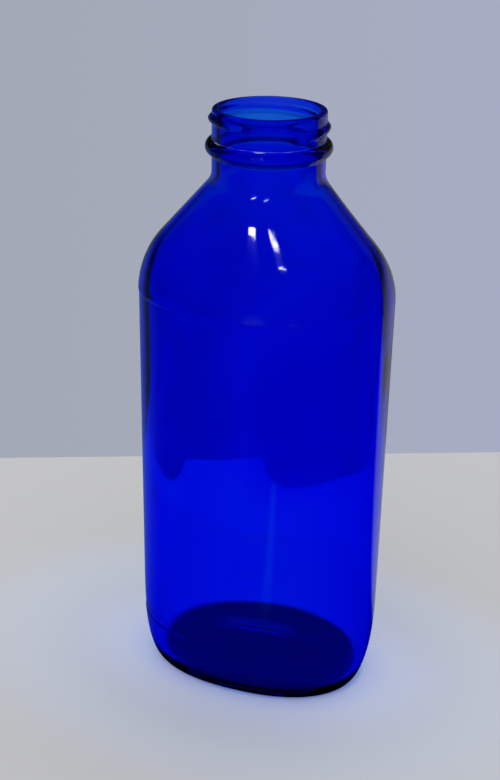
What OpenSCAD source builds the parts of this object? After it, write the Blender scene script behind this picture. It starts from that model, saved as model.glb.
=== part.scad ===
// Screw-neck glass bottle with an oblong body, blown in one piece, standing on the plane z = 0.
// x runs along the wide faces, y through them (the front face looks along -y) and z is up.

/* [Body] */
// Width across the narrow sides
body_w = 82.5; // [70:0.5:110]
// Depth across the wide faces
body_d = 57.5; // [50:0.5:80]
// Height of the straight panels, from the table to the foot of the shoulder
panel_h = 139.5; // [90:1:220]
// Squareness of the plan: 2 is an ellipse, more fills the corners
plan_squareness = 2.3; // [2:0.05:3.2]

/* [Shoulder] */
// Height of the sloping shoulder, from the panels to the neck
shoulder_h = 39.5; // [36:0.5:60]
// Radius that turns the narrow sides into the shoulder
side_shoulder_r = 27; // [10:0.5:30]
// Radius that turns the wide faces into the shoulder, small enough to show as a soft edge
front_shoulder_r = 4; // [3.5:0.5:12]
// Hollow radius at the foot of the neck, seen from the front
side_neck_r = 6; // [1:0.5:8]
// Hollow radius at the foot of the neck, seen from the side
front_neck_r = 36; // [10:1:50]

/* [Heel and base] */
// Height over which the panels draw in to the heel
heel_h = 31; // [12:0.5:45]
// How far the heel draws in, from the panel to the bearing ring
heel_inset = 6.5; // [3:0.25:9]
// Squareness of the heel curve: 2 is a quarter of an ellipse
heel_squareness = 2.3; // [2:0.05:3]
// Width of the flat ring that the bottle stands on
bearing_w = 3; // [2:0.25:6]
// Rise of the hollow under the base
pushup_h = 5; // [1:0.25:7]

/* [Glass] */
// Thickness of the body wall
wall_t = 3; // [2:0.1:3.4]
// Thickness of the glass at the edge of the floor
base_t = 3.6; // [3:0.1:9]
// Radius inside, where the wall meets the floor
floor_r = 3; // [2:0.5:12]

/* [Neck and lip] */
// Height of the round neck, from the shoulder to the top of the lip
neck_h = 19; // [18:0.5:34]
// Outside diameter of the neck
neck_d = 34.8; // [32:0.1:40]
// Diameter of the mouth's straight bore
bore_d = 30.2; // [26:0.1:30.4]
// Radius on both edges of the lip
lip_r = 0.8; // [0.3:0.1:0.8]
// Outside diameter of the transfer bead below the screw finish
bead_d = 38.9; // [37.5:0.1:44]
// Height of the half-round transfer bead
bead_h = 4.8; // [3:0.2:6]
// Drop from the top of the lip to the middle of the bead
bead_drop = 11.5; // [9:0.25:14]

/* [Hidden] */
$fn = 96;
// Points round the plan, and steps up each curved stretch of the skins
plan_points = 64;
heel_steps = 8;
shoulder_steps = 15;
floor_steps = 5;
// How far the blown body's neck stays inside the turned neck's wall, and how high it reaches into it
seat_gap = 0.06;
seat_h = 3;
neck_r = neck_d / 2;
bore_r = bore_d / 2;
neck_z = panel_h + shoulder_h;
lip_z = neck_z + neck_h;
turned_z = neck_z + seat_h / 3;
seat_top_z = neck_z + seat_h;

// Half-width of the shoulder at height z: an outward arc, a tangent line and a hollow arc into the neck
function shoulder_half(z, panel, neck, turn_r, hollow_r) =
    let(
        turn_x = panel - turn_r,
        hollow_x = neck + hollow_r,
        dx = hollow_x - turn_x,
        lean = atan2(shoulder_h, dx) - acos(min(1, (turn_r + hollow_r) / norm([dx, shoulder_h]))),
        low = [turn_x + turn_r * cos(lean), panel_h + turn_r * sin(lean)],
        high = [hollow_x - hollow_r * cos(lean), neck_z - hollow_r * sin(lean)]
    )
    z <= panel_h ? panel
    : z >= neck_z ? neck
    : z < low.y ? turn_x + sqrt(turn_r * turn_r - (z - panel_h) * (z - panel_h))
    : z > high.y ? hollow_x - sqrt(hollow_r * hollow_r - (neck_z - z) * (neck_z - z))
    : low.x + (high.x - low.x) * (z - low.y) / (high.y - low.y);

// How far the heel's curve draws the outline in at height z
function heel_draw(z) =
    let(down = max(0, 1 - z / heel_h))
    heel_inset * (1 - pow(1 - pow(down, heel_squareness), 1 / heel_squareness));

// Plan outline at height z, inset by the glass in hand; the corners fade to a circle up the shoulder
function outline(half_w, half_d, neck, z) =
    let(
        fullness = max(0, min(1, (half_w - neck) / (body_w / 2 - neck_r))),
        power = 2 / (2 + (plan_squareness - 2) * pow(fullness, 3))
    )
    [for (i = [0:plan_points - 1])
        let(a = 360 * i / plan_points, c = cos(a), s = sin(a))
        [half_w * sign(c) * pow(abs(c), power), half_d * sign(s) * pow(abs(s), power), z]];

// One ring of the outer skin
function outer_ring(z) =
    outline(
        shoulder_half(z, body_w / 2, neck_r - seat_gap, side_shoulder_r, side_neck_r) - heel_draw(z),
        shoulder_half(z, body_d / 2, neck_r - seat_gap, front_shoulder_r, front_neck_r) - heel_draw(z),
        neck_r - seat_gap, z);

// Extra draw of the inner skin where the wall rounds into the floor
function floor_draw(z) =
    let(down = max(0, floor_r - (z - base_t)))
    floor_r - sqrt(max(0, floor_r * floor_r - down * down));

// One ring of the inner skin, set in from the outer one by the wall
function inner_ring(z) =
    let(draw = wall_t + heel_draw(z) + floor_draw(z))
    outline(
        shoulder_half(z, body_w / 2, bore_r + seat_gap + wall_t, side_shoulder_r, side_neck_r) - draw,
        shoulder_half(z, body_d / 2, bore_r + seat_gap + wall_t, front_shoulder_r, front_neck_r) - draw,
        bore_r + seat_gap, z);

// A ring of the base or the floor: the edge ring shrunk towards the axis, at its own height
function shrunk(ring, scale, z) = [for (p = ring) [p.x * scale, p.y * scale, z]];

// How high the push-up stands at a share of the way out from its middle
function dome(share) = pushup_h * pow(cos(90 * share), 2);

// Under the base: the push-up, a smooth rise from the flat bearing ring to the middle
dome_shares = [0.92, 0.8, 0.66, 0.5, 0.33, 0.16];
bearing_scale = 1 - bearing_w / (body_d / 2 - heel_inset);
under_rings = [for (i = [len(dome_shares) - 1:-1:0])
    shrunk(outer_ring(0), bearing_scale * dome_shares[i], dome(dome_shares[i]))];
bearing_ring = shrunk(outer_ring(0), bearing_scale, 0);

// Up the outside, over the top of the blown neck and down the inside
outside_rings = concat(
    [for (i = [0:heel_steps]) outer_ring(heel_h * (1 - cos(90 * i / heel_steps)))],
    [for (i = [0:shoulder_steps]) outer_ring(panel_h + shoulder_h * i / shoulder_steps)],
    [outer_ring(seat_top_z)]);
inside_rings = concat(
    [inner_ring(seat_top_z)],
    [for (i = [shoulder_steps:-1:0]) inner_ring(panel_h + shoulder_h * i / shoulder_steps)],
    [for (i = [6:-1:1]) inner_ring(base_t + floor_r + max(1, heel_h - base_t - floor_r) * pow(i / 6, 1.5))],
    [for (i = [floor_steps:-1:0]) inner_ring(base_t + floor_r * (1 - cos(90 * i / floor_steps)))]);
floor_rings = [for (s = dome_shares) shrunk(inner_ring(base_t), s, base_t + dome(s))];

body_rings = concat(under_rings, [bearing_ring], outside_rings, inside_rings, floor_rings);

// The blown body: one closed skin from the middle of the base, out, up, over and down to the floor
module blown_body() {
    last = len(body_rings) - 1;
    count = plan_points;
    points = concat([for (ring = body_rings) each ring],
        [[0, 0, pushup_h], [0, 0, base_t + pushup_h]]);
    under_middle = len(points) - 2;
    floor_middle = len(points) - 1;
    skin = [for (r = [0:last - 1], i = [0:count - 1])
        let(j = (i + 1) % count, low = r * count, high = low + count)
        each [[low + i, high + i, high + j], [low + i, high + j, low + j]]];
    under_fan = [for (i = [0:count - 1]) [under_middle, i, (i + 1) % count]];
    floor_fan = [for (i = [0:count - 1]) [floor_middle, last * count + (i + 1) % count, last * count + i]];
    polyhedron(points, concat(skin, under_fan, floor_fan), convexity = 6);
}

// The turned neck: a straight wall with a rounded lip and a half-round transfer bead
module turned_neck() {
    rotate_extrude() {
        translate([bore_r, turned_z]) square([neck_r - bore_r, lip_z - lip_r - turned_z]);
        translate([bore_r + lip_r, turned_z]) square([neck_r - bore_r - 2 * lip_r, lip_z - turned_z]);
        for (x = [bore_r + lip_r, neck_r - lip_r]) translate([x, lip_z - lip_r]) circle(lip_r);
        intersection() {
            translate([(bead_d - bead_h) / 2, lip_z - bead_drop]) circle(bead_h / 2);
            translate([neck_r - 1, lip_z - bead_drop - bead_h / 2]) square([bead_h, bead_h]);
        }
    }
}

module glass_bottle() {
    color([0.06, 0.1, 0.82, 0.8]) union() {
        blown_body();
        turned_neck();
    }
}

glass_bottle();
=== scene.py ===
import math

import bmesh
import bpy
from mathutils import Matrix, Vector, noise


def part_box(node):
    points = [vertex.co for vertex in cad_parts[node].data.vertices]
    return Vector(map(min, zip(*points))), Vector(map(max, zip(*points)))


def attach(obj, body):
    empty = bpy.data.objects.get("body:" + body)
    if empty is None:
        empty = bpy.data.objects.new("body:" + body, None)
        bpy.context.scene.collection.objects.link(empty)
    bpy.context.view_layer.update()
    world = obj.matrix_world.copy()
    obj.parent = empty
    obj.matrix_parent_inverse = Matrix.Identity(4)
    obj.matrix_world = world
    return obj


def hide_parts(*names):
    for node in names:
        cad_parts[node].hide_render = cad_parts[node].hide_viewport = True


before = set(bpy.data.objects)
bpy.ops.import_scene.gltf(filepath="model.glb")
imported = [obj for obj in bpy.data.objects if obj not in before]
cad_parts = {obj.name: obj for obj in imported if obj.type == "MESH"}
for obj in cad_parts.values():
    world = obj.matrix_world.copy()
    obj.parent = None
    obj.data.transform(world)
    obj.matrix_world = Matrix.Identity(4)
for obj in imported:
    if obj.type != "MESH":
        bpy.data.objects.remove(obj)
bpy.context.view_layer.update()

# Blown body and moulded neck
# The bottle is one gather of cobalt-blue soda-lime glass, blown in a two-part iron mould. The plan is
# oblong with arched faces, the shoulder slopes into a round neck, and the lip, the one-turn screw thread
# and the transfer bead are pressed first, in the neck ring. The fire-polished skin is smooth and slightly wavy.
MM = 0.001
low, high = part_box("glass_bottle")
half_width, half_depth, lip_z = high.x, high.y, high.z
plan_squareness = 2.3
panel_top_z = 139.5 * MM
neck_z = 179 * MM
neck_r = 17.4 * MM
bore_r = 15.1 * MM
wall_t = 3 * MM
side_shoulder_r, side_neck_r = 27 * MM, 6 * MM
front_shoulder_r, front_neck_r = 4 * MM, 36 * MM
heel_h, heel_inset, heel_squareness = 31 * MM, 6.5 * MM, 2.3
bearing_w, pushup_h = 3 * MM, 5 * MM
base_t, floor_r = 3.6 * MM, 3 * MM
panel_foot_z = 19 * MM
panel_recess, panel_edge = 0.2 * MM, 0.5 * MM
mark_from, mark_to, mark_fade = math.radians(187), math.radians(238), math.radians(22)
lip_r = 0.8 * MM
bead_r, bead_h, bead_drop = 19.45 * MM, 4.8 * MM, 11.5 * MM
thread_pitch, thread_w, thread_rise = 25.4 / 6 * MM, 3.6 * MM, 1.15 * MM
thread_left_drop = 3.0 * MM
thread_left_angle = math.radians(197.6)
thread_start, thread_end = math.radians(278), math.radians(-58)
thread_taper = math.radians(60)
wave_size, wave_depth = 26 * MM, 0.22 * MM
settle_z, settle_lean, settle_climb, settle_h, settle_depth = 68.5 * MM, 0.57, 0.36, 24 * MM, 1.2 * MM
settle_from, settle_edge = -10 * MM, 20 * MM
settle_hook, settle_hook_w = -30 * MM, 3.5 * MM
settle_turn = math.radians(18)
turns_steps = 144


def shoulder_half(z, panel, neck, turn_r, hollow_r):
    """Half-width of the shoulder at a height: an outward arc, a tangent line, a hollow arc into the neck."""
    rise = neck_z - panel_top_z
    turn_x = panel - turn_r
    hollow_x = neck + hollow_r
    reach = math.hypot(hollow_x - turn_x, rise)
    lean = math.atan2(rise, hollow_x - turn_x) - math.acos(min(1, (turn_r + hollow_r) / reach))
    low_x, low_z = turn_x + turn_r * math.cos(lean), panel_top_z + turn_r * math.sin(lean)
    high_x, high_z = hollow_x - hollow_r * math.cos(lean), neck_z - hollow_r * math.sin(lean)
    if z <= panel_top_z:
        return panel
    if z >= neck_z:
        return neck
    if z < low_z:
        return turn_x + math.sqrt(turn_r ** 2 - (z - panel_top_z) ** 2)
    if z > high_z:
        return hollow_x - math.sqrt(hollow_r ** 2 - (neck_z - z) ** 2)
    return low_x + (high_x - low_x) * (z - low_z) / (high_z - low_z)


def heel_draw(z):
    """How far the heel's curve draws the outline in at a height."""
    down = max(0, 1 - z / heel_h)
    return heel_inset * (1 - (1 - down ** heel_squareness) ** (1 / heel_squareness))


def ease(x):
    x = max(0, min(1, x))
    return x * x * (3 - 2 * x)


def recess(angle, z):
    """The panel lies a hair below the shoulder and the heel, and its mould edges show on one narrow side only."""
    angle %= math.tau
    shown = ease((angle - mark_from + mark_fade) / mark_fade) * ease((mark_to + mark_fade - angle) / mark_fade)
    return panel_recess * shown * ease((z - panel_foot_z) / panel_edge) * ease((panel_top_z - z) / panel_edge)


def outer_station(z):
    """One height of the outer skin: half-width, half-depth, height, how far it is from round."""
    w = shoulder_half(z, half_width, neck_r, side_shoulder_r, side_neck_r)
    d = shoulder_half(z, half_depth, neck_r, front_shoulder_r, front_neck_r)
    draw = heel_draw(z)
    fullness = max(0, min(1, (w - neck_r) / (half_width - neck_r)))
    return w - draw, d - draw, z, (plan_squareness - 2) * fullness ** 3


def inner_station(z):
    """The same for the inner skin, one wall further in and rounded into the floor."""
    w = shoulder_half(z, half_width, bore_r + wall_t, side_shoulder_r, side_neck_r)
    d = shoulder_half(z, half_depth, bore_r + wall_t, front_shoulder_r, front_neck_r)
    down = max(0, floor_r - (z - base_t))
    draw = wall_t + heel_draw(z) + floor_r - math.sqrt(max(0, floor_r ** 2 - down ** 2))
    fullness = max(0, min(1, (w - draw - bore_r) / (half_width - neck_r)))
    return w - draw, d - draw, z, (plan_squareness - 2) * fullness ** 3


def between(a, b, count):
    return [a + (b - a) * i / count for i in range(1, count + 1)]


def dome(share):
    """How high the push-up stands at a share of the way out from its middle."""
    return pushup_h * math.cos(math.pi / 2 * share) ** 2


def blown_profile():
    """The section from the middle of the base, out, up the outside, over the lip and down the inside."""
    foot = outer_station(0)
    bearing = 1 - bearing_w / foot[1]
    shares = between(0, 1, 12)
    stations = [(0, 0, pushup_h, foot[3])]
    stations += [(foot[0] * bearing * s, foot[1] * bearing * s, dome(s), foot[3]) for s in shares]
    heights = [heel_h * (1 - math.cos(math.radians(a))) for a in range(0, 91, 5)]
    heights += [panel_foot_z + panel_edge * i / 4 for i in range(-2, 7)]
    heights += between(heel_h, panel_top_z - 2 * panel_edge, 10)
    heights += [panel_top_z + panel_edge * i / 4 for i in range(-6, 9)]
    heights += between(panel_top_z + 2 * panel_edge, neck_z, 34)
    stations += [outer_station(z) for z in sorted(set(round(h, 7) for h in heights))]
    bead_z = lip_z - bead_drop
    tube = bead_h / 2
    meet = math.acos((neck_r - (bead_r - tube)) / tube)
    ring = [(bead_r - tube + tube * math.cos(a), bead_z + tube * math.sin(a)) for a in
            [meet * i / 12 for i in range(-12, 13)]]
    neck = [(neck_r, z) for z in between(neck_z, ring[0][1], 6)[:-1]] + ring
    neck += [(neck_r, z) for z in between(ring[-1][1], lip_z - lip_r, 56)]
    neck += [(neck_r - lip_r * (1 - math.cos(a)), lip_z - lip_r * (1 - math.sin(a))) for a in
             [math.pi / 2 * i / 6 for i in range(1, 7)]]
    neck += [(bore_r + lip_r * (1 - math.cos(a)), lip_z - lip_r * (1 - math.sin(a))) for a in
             [math.pi / 2 * i / 6 for i in range(6, 0, -1)]]
    neck += [(bore_r, z) for z in between(lip_z - lip_r, neck_z, 14)]
    stations += [(r, r, z, 0) for r, z in neck]
    heights = between(neck_z, panel_top_z, 34) + between(panel_top_z, base_t + floor_r, 60)
    heights += [base_t + floor_r * (1 - math.cos(math.radians(a))) for a in range(80, -1, -10)]
    stations += [inner_station(z) for z in heights]
    edge = stations[-1]
    stations += [(edge[0] * s, edge[1] * s, base_t + dome(s), edge[3]) for s in shares[-2::-1]]
    return stations + [(0, 0, base_t + pushup_h, edge[3])]


def thread_rise_at(angle, z):
    """How far the screw thread stands off the neck at one point of it."""
    best = 0
    for turn in (0, math.tau):
        a = angle + turn
        if thread_end < a < thread_start:
            middle = lip_z - thread_left_drop - thread_pitch * (thread_left_angle - a) / math.tau
            across = (z - middle) / (thread_w / 2)
            if abs(across) < 1:
                fade = ease((a - thread_end) / thread_taper) * ease((thread_start - a) / thread_taper)
                side = abs(math.cos(a - thread_left_angle))
                shown = 0.15 + 0.85 * side ** 2 if math.sin(a - thread_left_angle) > 0 else 0.55
                best = max(best, thread_rise * fade * shown * (1 - across * across) ** 1.5)
    return best


def settle(co):
    """The settle wave: along a slanting line at mid-height the wall changes thickness, on one part of the width."""
    across = co.x * math.cos(settle_turn) + co.y * math.sin(settle_turn)
    line = settle_z - settle_lean * co.y + settle_climb * max(0, across)
    step = ease((co.z - line) / settle_h + 0.5)
    reach = ease((across - settle_from) / settle_edge) * (1 - 0.4 * ease((across - 12 * MM) / (22 * MM)))
    hook = math.exp(-((across - settle_hook) / settle_hook_w) ** 2 - ((co.z - line) / (12 * MM)) ** 2)
    ends = ease((co.z - 8 * MM) / (16 * MM)) * ease((panel_top_z - co.z) / (40 * MM))
    return settle_depth * (step * reach + (step - 0.5) * hook) * ends


def blow_bottle():
    """Spins the section into a round vessel, then presses every ring of it into the oblong plan."""
    bm = bmesh.new()
    depth = bm.verts.layers.float.new("depth")
    power = bm.verts.layers.float.new("power")
    inside = bm.verts.layers.float.new("inside")
    profile = blown_profile()
    over = max(range(len(profile)), key=lambda i: profile[i][2])
    made = []
    for i, (w, d, z, square) in enumerate(profile):
        v = bm.verts.new((max(w, 1e-6), 0, z))
        v[depth], v[power], v[inside] = d, 2 / (2 + square), 1.0 if i > over else 0.0
        made.append(v)
    edges = [bm.edges.new(pair) for pair in zip(made, made[1:])]
    bmesh.ops.spin(bm, geom=made + edges, axis=(0, 0, 1), cent=(0, 0, 0), angle=math.tau,
                   steps=turns_steps, use_merge=True, use_duplicate=False)
    finish_low = lip_z - bead_drop + bead_h / 2 - 1 * MM
    for v in bm.verts:
        r = math.hypot(v.co.x, v.co.y)
        if r < 1e-5:
            v.co = (0, 0, v.co.z)
            continue
        c, s = v.co.x / r, v.co.y / r
        if not v[inside] and v.co.z > finish_low and r > neck_r - 1e-5:
            r += thread_rise_at(math.atan2(s, c), v.co.z)
            v.co = (r * c, r * s, v.co.z)
            continue
        draw = 0 if v[inside] else recess(math.atan2(s, c), v.co.z)
        v.co = ((r - draw) * math.copysign(abs(c) ** v[power], c),
                (v[depth] - draw) * math.copysign(abs(s) ** v[power], s), v.co.z)
        if v[inside]:
            wave = noise.noise(Vector(v.co) / wave_size + Vector((3.1, 7.4, 1.2)))
            fade = ease((neck_z - v.co.z) / wave_size)
            v.co += Vector((c, s, 0)) * -(wave_depth * wave * fade + settle(v.co))
    bmesh.ops.remove_doubles(bm, verts=bm.verts, dist=2e-6)
    bmesh.ops.recalc_face_normals(bm, faces=bm.faces)
    for f in bm.faces:
        f.smooth = True
    mesh = bpy.data.meshes.new("glass_bottle_blown")
    bm.to_mesh(mesh)
    bm.free()
    return mesh


def srgb(code, alpha=1.0):
    """A hex colour as it is seen, turned into the linear numbers that a shader takes."""
    parts = [int(code[i:i + 2], 16) / 255 for i in (0, 2, 4)]
    return tuple(p / 12.92 if p <= 0.04045 else ((p + 0.055) / 1.055) ** 2.4 for p in parts) + (alpha,)


def add(tree, kind, settings=None, **inputs):
    """Adds a node with its settings; a socket given as an input is linked, a value is set."""
    node = tree.nodes.new(kind)
    for name, value in (settings or {}).items():
        setattr(node, name, value)
    for name, value in inputs.items():
        socket = node.inputs[int(name[1:])] if name[0] == "i" and name[1:].isdigit() else node.inputs[name.replace("_", " ")]
        if isinstance(value, bpy.types.NodeSocket):
            tree.links.new(value, socket)
        else:
            socket.default_value = value
    return node


def cobalt_glass():
    """Cobalt-blue soda-lime glass, fire-polished: it swallows red, most of the green and little of the blue."""
    mat = bpy.data.materials.new("cobalt_glass")
    mat.use_nodes = True
    tree = mat.node_tree
    tree.nodes.clear()
    glass = add(tree, "ShaderNodeBsdfPrincipled", Base_Color=srgb("F8FBFF"), Roughness=0.03, IOR=1.52,
                Transmission_Weight=1.0)
    lamp = add(tree, "ShaderNodeBsdfTransparent", Color=srgb("6F94F0"))
    path = add(tree, "ShaderNodeLightPath")
    skin = add(tree, "ShaderNodeMixShader", i0=path.outputs["Is Shadow Ray"], i1=glass.outputs[0], i2=lamp.outputs[0])
    depth = add(tree, "ShaderNodeVolumeAbsorption", Color=srgb("00C8FD"), Density=1900.0)
    out = add(tree, "ShaderNodeOutputMaterial", Surface=skin.outputs[0], Volume=depth.outputs[0])
    return mat


bottle = bpy.data.objects.new("blown_glass_bottle", blow_bottle())
bpy.context.scene.collection.objects.link(bottle)
bottle.data.materials.append(cobalt_glass())
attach(bottle, "root")
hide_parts("glass_bottle")

# Dust in the groove
# A fine thread of pale household dust lies in the groove between the neck and the transfer bead, dry and
# matt. It settled there over the years, so it is thick in one place and thin in another.
dust_base, dust_wide, dust_size = 0.02 * MM, 1.2 * MM, 2.2 * MM
dust_turn, dust_reach = math.radians(252), math.radians(75)
dust_lift, dust_thick = 0.01 * MM, 0.03 * MM
dust_steps = 240
bead_z, bead_tube = lip_z - bead_drop, bead_h / 2
bm = bmesh.new()
rings = []
for i in range(dust_steps):
    angle = math.tau * i / dust_steps
    c, s = math.cos(angle), math.sin(angle)
    off = (angle - dust_turn + math.pi) % math.tau - math.pi
    patchy = 0.35 + noise.noise(Vector((c, s, 0.3)) * neck_r / dust_size)
    width = dust_base + dust_wide * max(0, patchy) ** 2 * ease(1 - abs(off) / dust_reach)
    ring = []
    for out, lift in ((0.02 * MM, dust_lift), (0.02 * MM, dust_thick), (width, dust_thick), (width, dust_lift)):
        r = neck_r + out
        z = bead_z + math.sqrt(bead_tube ** 2 - (r - bead_r + bead_tube) ** 2) + lift
        ring.append(bm.verts.new((r * c, r * s, z)))
    rings.append(ring)
for a, b in zip(rings, rings[1:] + rings[:1]):
    for i in range(4):
        j = (i + 1) % 4
        bm.faces.new((a[i], b[i], b[j], a[j]))
bmesh.ops.recalc_face_normals(bm, faces=bm.faces)
mesh = bpy.data.meshes.new("groove_dust")
bm.to_mesh(mesh)
bm.free()
dust = bpy.data.objects.new("groove_dust", mesh)
bpy.context.scene.collection.objects.link(dust)
# Household dust is a pale matt grey with a touch of lilac, and no shine at all
mat = bpy.data.materials.new("household_dust")
mat.use_nodes = True
tree = mat.node_tree
tree.nodes.clear()
film = add(tree, "ShaderNodeBsdfPrincipled", Base_Color=srgb("A9ACC6"), Roughness=0.95, IOR=1.4)
add(tree, "ShaderNodeOutputMaterial", Surface=film.outputs[0])
dust.data.materials.append(mat)
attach(dust, "root")

# Camera
# It stands to the right of the bottle's front and looks down on it.
image_w, image_h = 500, 780
focal_px = 1288.4
camera_away, camera_up = 384.5 * MM, 283.7 * MM
camera_round = math.radians(17.6)
camera_heading = math.radians(18.26)
camera_down = math.radians(24.935)
camera_roll = math.radians(1.037)
lens = bpy.data.cameras.new("camera")
lens.sensor_width = 36
lens.lens = focal_px * lens.sensor_width / image_h
lens.clip_start = 0.01
camera = bpy.data.objects.new("camera", lens)
bpy.context.scene.collection.objects.link(camera)
stand = Vector((camera_away * math.sin(camera_round), -camera_away * math.cos(camera_round), camera_up))
camera.matrix_world = (Matrix.Translation(stand) @ Matrix.Rotation(camera_heading, 4, "Z")
                       @ Matrix.Rotation(math.pi / 2 - camera_down, 4, "X") @ Matrix.Rotation(camera_roll, 4, "Z"))
bpy.context.scene.camera = camera

# Table and light
# A pale matt table whose far edge lies behind the bottle, a pale room beyond it, and four soft strip lamps. The table
# carries painted light and shade round the bottle's foot, and painted reflections for the glass to mirror.
def room_glow(tree, where):
    """The room in a direction: the colour that the glass mirrors, and how bright it is through the glass."""
    smooth = {"interpolation_type": "SMOOTHSTEP"}
    unit = add(tree, "ShaderNodeVectorMath", {"operation": "NORMALIZE"}, i0=where)
    heading = (-math.sin(camera_heading), math.cos(camera_heading), 0)
    right = (math.cos(camera_heading), math.sin(camera_heading), 0)
    ahead = add(tree, "ShaderNodeVectorMath", {"operation": "DOT_PRODUCT"}, i0=unit.outputs[0], i1=heading)
    aside = add(tree, "ShaderNodeVectorMath", {"operation": "DOT_PRODUCT"}, i0=unit.outputs[0], i1=right)
    rise = add(tree, "ShaderNodeSeparateXYZ", Vector=unit.outputs[0])
    ahead, aside = ahead.outputs["Value"], aside.outputs["Value"]
    left = add(tree, "ShaderNodeMapRange", smooth, Value=ahead, From_Min=-0.1, From_Max=1.0, To_Min=0.0, To_Max=0.28)
    open_side = add(tree, "ShaderNodeMapRange", smooth, Value=ahead, From_Min=0.3, From_Max=0.45, To_Min=0.0, To_Max=0.36)
    turn = add(tree, "ShaderNodeMapRange", smooth, Value=aside, From_Min=0.1, From_Max=0.5)
    level = add(tree, "ShaderNodeMix", {"data_type": "FLOAT"}, i0=turn.outputs[0], i2=left.outputs[0], i3=open_side.outputs[0])
    ceiling = add(tree, "ShaderNodeMapRange", smooth, Value=rise.outputs["Z"], From_Min=-0.15, From_Max=0.12, To_Min=1.0, To_Max=0.1)
    level = add(tree, "ShaderNodeMath", {"operation": "MULTIPLY"}, i0=level.outputs[0], i1=ceiling.outputs[0])
    tint = add(tree, "ShaderNodeMix", {"data_type": "RGBA"}, i0=turn.outputs[0], i6=srgb("9CC4FF"), i7=srgb("F4EEFF"))
    glint = add(tree, "ShaderNodeVectorMath", {"operation": "SCALE"}, i0=tint.outputs[2], Scale=level.outputs[0])
    flat = add(tree, "ShaderNodeVectorMath", {"operation": "MULTIPLY"}, i0=where, i1=(1, 1, 0))
    flat = add(tree, "ShaderNodeVectorMath", {"operation": "NORMALIZE"}, i0=flat.outputs[0])
    lobes = []
    for way, dark, bright in ((heading, 0.74, 0.92), (right, 0.78, 0.93)):
        lobe = add(tree, "ShaderNodeVectorMath", {"operation": "DOT_PRODUCT"}, i0=flat.outputs[0], i1=way)
        lobe = add(tree, "ShaderNodeMath", {"operation": "ABSOLUTE"}, i0=lobe.outputs["Value"])
        lobes.append(add(tree, "ShaderNodeMapRange", smooth, Value=lobe.outputs[0], From_Min=dark, From_Max=bright,
                         To_Min=0.01, To_Max=0.62).outputs[0])
    through = add(tree, "ShaderNodeMath", {"operation": "MAXIMUM"}, i0=lobes[0], i1=lobes[1])
    upper = add(tree, "ShaderNodeMapRange", smooth, Value=rise.outputs["Z"], From_Min=-0.1, From_Max=0.3, To_Min=1.0, To_Max=0.25)
    through = add(tree, "ShaderNodeMath", {"operation": "MULTIPLY"}, i0=through.outputs[0], i1=upper.outputs[0])
    return glint.outputs[0], through.outputs[0]


table_edge, table_size = 153 * MM, 1150 * MM
table_turn = math.radians(3.6)
streak_x, streak_lean, streak_w = 2.5 * MM, 0.0776, 9 * MM
bm = bmesh.new()
bmesh.ops.create_grid(bm, x_segments=1, y_segments=1, size=table_size / 2)
bmesh.ops.translate(bm, verts=bm.verts, vec=(0, table_edge - table_size / 2, 0))
bmesh.ops.rotate(bm, verts=bm.verts, cent=(0, 0, 0), matrix=Matrix.Rotation(camera_heading + table_turn, 3, "Z"))
mesh = bpy.data.meshes.new("table")
bm.to_mesh(mesh)
bm.free()
table = bpy.data.objects.new("table", mesh)
bpy.context.scene.collection.objects.link(table)
mat = bpy.data.materials.new("matt_table")
mat.use_nodes = True
tree = mat.node_tree
tree.nodes.clear()
path = add(tree, "ShaderNodeLightPath")
where = add(tree, "ShaderNodeTexCoord")
# Painted reflection: on rays that the glass mirrors, the table's colour is the room's glint made brighter, not its own
# grey.
glint, _ = room_glow(tree, where.outputs["Object"])
glint = add(tree, "ShaderNodeVectorMath", {"operation": "MULTIPLY"}, i0=glint, i1=(2.6, 2.95, 2.5))
smooth = {"interpolation_type": "SMOOTHSTEP"}
# Painted reflection: a narrow streak of blue light lies along the table in front of the bottle, seen only in the glass.
place = add(tree, "ShaderNodeSeparateXYZ", Vector=where.outputs["Object"])
off = add(tree, "ShaderNodeMath", {"operation": "MULTIPLY_ADD"}, i0=place.outputs["Y"], i1=streak_lean, i2=place.outputs["X"])
off = add(tree, "ShaderNodeMath", {"operation": "SUBTRACT"}, i0=off.outputs[0], i1=streak_x)
off = add(tree, "ShaderNodeMath", {"operation": "ABSOLUTE"}, i0=off.outputs[0])
painted_streak = add(tree, "ShaderNodeMapRange", smooth, Value=off.outputs[0], From_Min=0.0, From_Max=streak_w, To_Min=1.0, To_Max=0.0)
for edge, fade in ((-190 * MM, 15 * MM), (-70 * MM, -40 * MM)):
    end = add(tree, "ShaderNodeMapRange", smooth, Value=place.outputs["Y"], From_Min=edge, From_Max=edge + fade)
    painted_streak = add(tree, "ShaderNodeMath", {"operation": "MULTIPLY"}, i0=painted_streak.outputs[0], i1=end.outputs[0])
painted_streak = add(tree, "ShaderNodeVectorMath", {"operation": "SCALE"}, i0=(0.02, 0.24, 0.45), Scale=painted_streak.outputs[0])
glint = add(tree, "ShaderNodeVectorMath", i0=glint.outputs[0], i1=painted_streak.outputs[0]).outputs[0]
foot_w, foot_d = half_width - heel_inset, half_depth - heel_inset
shade_w, shade_d = 37 * MM, 31.5 * MM
foot = add(tree, "ShaderNodeVectorMath", {"operation": "MULTIPLY"}, i0=where.outputs["Object"],
           i1=(0.25 / foot_w, 0.25 / foot_d, 0))
near = add(tree, "ShaderNodeVectorMath", {"operation": "LENGTH"}, i0=foot.outputs[0])
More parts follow.
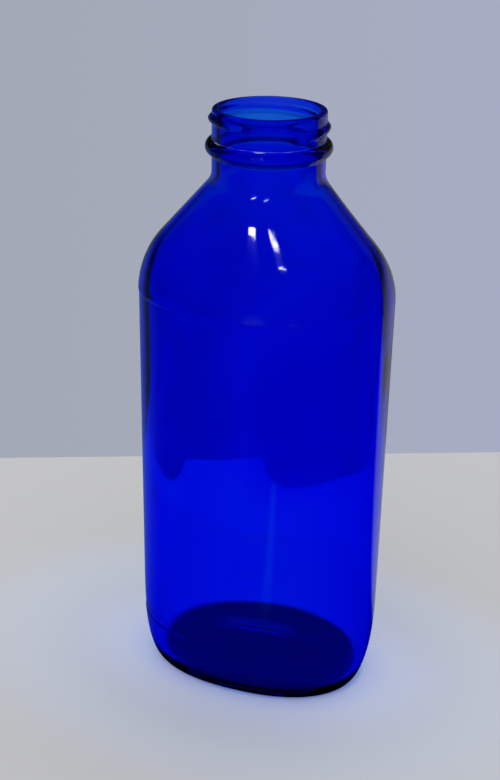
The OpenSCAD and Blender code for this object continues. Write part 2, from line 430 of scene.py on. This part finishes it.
# Painted light: the table's own pale grey turns into a blue glow with a bright azure line round the bottle's foot,
# painted in place of light that comes through the glass.
painted_glow_ramp = add(tree, "ShaderNodeValToRGB", Fac=near.outputs["Value"])
painted_glow_ramp.color_ramp.interpolation = "EASE"
painted_glow_ramp.color_ramp.elements[0].position = 0.25
painted_glow_ramp.color_ramp.elements[0].color = srgb("5C9CFF")
painted_glow_ramp.color_ramp.elements[1].position = 0.95
painted_glow_ramp.color_ramp.elements[1].color = srgb("D9D6D0")
for place, tone in ((0.262, "74ACFF"), (0.285, "D0D9F0"), (0.38, "D7DBE6"), (0.6, "DADCE1")):
    painted_glow_ramp.color_ramp.elements.new(place).color = srgb(tone)
tone = add(tree, "ShaderNodeMix", {"data_type": "RGBA"}, i0=path.outputs["Is Glossy Ray"], i6=painted_glow_ramp.outputs[0], i7=glint)
cloth = add(tree, "ShaderNodeBsdfDiffuse", Color=tone.outputs[2])
# Painted light: a faint blue glow round the foot that only the camera sees; it is no lamp.
painted_foot_glow = add(tree, "ShaderNodeMapRange", smooth, Value=near.outputs["Value"], From_Min=0.2, From_Max=0.55, To_Min=0.2, To_Max=0.0)
painted_foot_glow = add(tree, "ShaderNodeMath", {"operation": "MULTIPLY"}, i0=path.outputs["Is Camera Ray"], i1=painted_foot_glow.outputs[0])
painted_foot_glow = add(tree, "ShaderNodeEmission", Color=srgb("B4C4FA"), Strength=painted_foot_glow.outputs[0])
cloth = add(tree, "ShaderNodeAddShader", i0=cloth.outputs[0], i1=painted_foot_glow.outputs[0])
# Painted shadow: seen through the glass the table is a glowing sheet, dark in an oval under and round the bottle's foot
# where a contact shadow falls.
under = add(tree, "ShaderNodeVectorMath", {"operation": "SUBTRACT"}, i0=where.outputs["Object"], i1=(1.5 * MM, 1.5 * MM, 0))
under = add(tree, "ShaderNodeVectorMath", {"operation": "MULTIPLY"}, i0=under.outputs[0], i1=(1 / shade_w, 1 / shade_d, 0))
under = add(tree, "ShaderNodeVectorMath", {"operation": "LENGTH"}, i0=under.outputs[0])
clear = add(tree, "ShaderNodeMapRange", smooth, Value=under.outputs["Value"], From_Min=0.94, From_Max=1.1, To_Min=0.13, To_Max=0.95)
lit = add(tree, "ShaderNodeEmission", Color=srgb("F6FFFF"), Strength=clear.outputs[0])
cloth = add(tree, "ShaderNodeMixShader", i0=path.outputs["Is Transmission Ray"], i1=cloth.outputs[0], i2=lit.outputs[0])
add(tree, "ShaderNodeOutputMaterial", Surface=cloth.outputs[0])
table.data.materials.append(mat)

world = bpy.data.worlds.new("room")
bpy.context.scene.world = world
world.use_nodes = True
tree = world.node_tree
tree.nodes.clear()
path = add(tree, "ShaderNodeLightPath")
where = add(tree, "ShaderNodeTexCoord")
glint, through = room_glow(tree, where.outputs["Generated"])
cloud = add(tree, "ShaderNodeTexNoise", Vector=where.outputs["Generated"], Scale=7.0, Detail=2.0)
uneven = add(tree, "ShaderNodeMapRange", Value=cloud.outputs[0], From_Min=0.3, From_Max=0.7, To_Min=0.8, To_Max=1.2)
through = add(tree, "ShaderNodeMath", {"operation": "MULTIPLY"}, i0=through, i1=uneven.outputs[0]).outputs[0]
side = add(tree, "ShaderNodeVectorMath", {"operation": "DOT_PRODUCT"}, i0=where.outputs["Generated"],
           i1=(math.cos(camera_heading), math.sin(camera_heading), 0))
side = add(tree, "ShaderNodeMapRange", Value=side.outputs["Value"], From_Min=-0.15, From_Max=0.15)
paint = add(tree, "ShaderNodeMix", {"data_type": "RGBA"}, i0=side.outputs[0], i6=srgb("A4A9B6"), i7=srgb("A7ACC2"))
room = add(tree, "ShaderNodeBackground", Color=srgb("E8ECF4"), Strength=1.0)
wall = add(tree, "ShaderNodeBackground", Color=paint.outputs[2], Strength=1.0)
glints = add(tree, "ShaderNodeBackground", Color=glint, Strength=1.0)
height = add(tree, "ShaderNodeSeparateXYZ", Vector=where.outputs["Generated"])
height = add(tree, "ShaderNodeMapRange", Value=height.outputs["Z"], From_Min=-0.245, From_Max=-0.225)
air = add(tree, "ShaderNodeMix", {"data_type": "RGBA"}, i0=height.outputs[0], i6=srgb("F090FF"), i7=srgb("F0FFFF"))
beyond = add(tree, "ShaderNodeBackground", Color=air.outputs[2], Strength=through)
lit = add(tree, "ShaderNodeMixShader", i0=path.outputs["Is Glossy Ray"], i1=room.outputs[0], i2=glints.outputs[0])
lit = add(tree, "ShaderNodeMixShader", i0=path.outputs["Is Transmission Ray"], i1=lit.outputs[0], i2=beyond.outputs[0])
seen = add(tree, "ShaderNodeMixShader", i0=path.outputs["Is Camera Ray"], i1=lit.outputs[0], i2=wall.outputs[0])
add(tree, "ShaderNodeOutputWorld", Surface=seen.outputs[0])


def soft_lamp(name, place, size, tilt, watts):
    """A soft strip of light that faces the bottle's shoulder, tilted about its own axis."""
    light = bpy.data.lights.new(name, "AREA")
    light.shape = "RECTANGLE"
    light.size, light.size_y = size
    light.energy = watts
    lamp = bpy.data.objects.new(name, light)
    bpy.context.scene.collection.objects.link(lamp)
    aim = (Vector((0, 0, 0.12)) - Vector(place)).to_track_quat("-Z", "Y")
    lamp.matrix_world = Matrix.Translation(place) @ aim.to_matrix().to_4x4() @ Matrix.Rotation(math.radians(tilt), 4, "Z")
    return lamp


soft_lamp("left_strip", (-0.355, -1.5, 0.698), (0.17, 0.016), 9, 0.25)
soft_lamp("right_strip", (0.155, -1.5, 0.826), (0.16, 0.005), 21, 0.08)
soft_lamp("left_low_strip", (-0.285, -1.5, 0.075), (0.22, 0.022), 0, 0.36)
soft_lamp("right_low_strip", (0.243, -1.5, 0.235), (0.22, 0.022), 0, 0.36)

view = bpy.context.scene.view_settings
view.view_transform = "Standard"
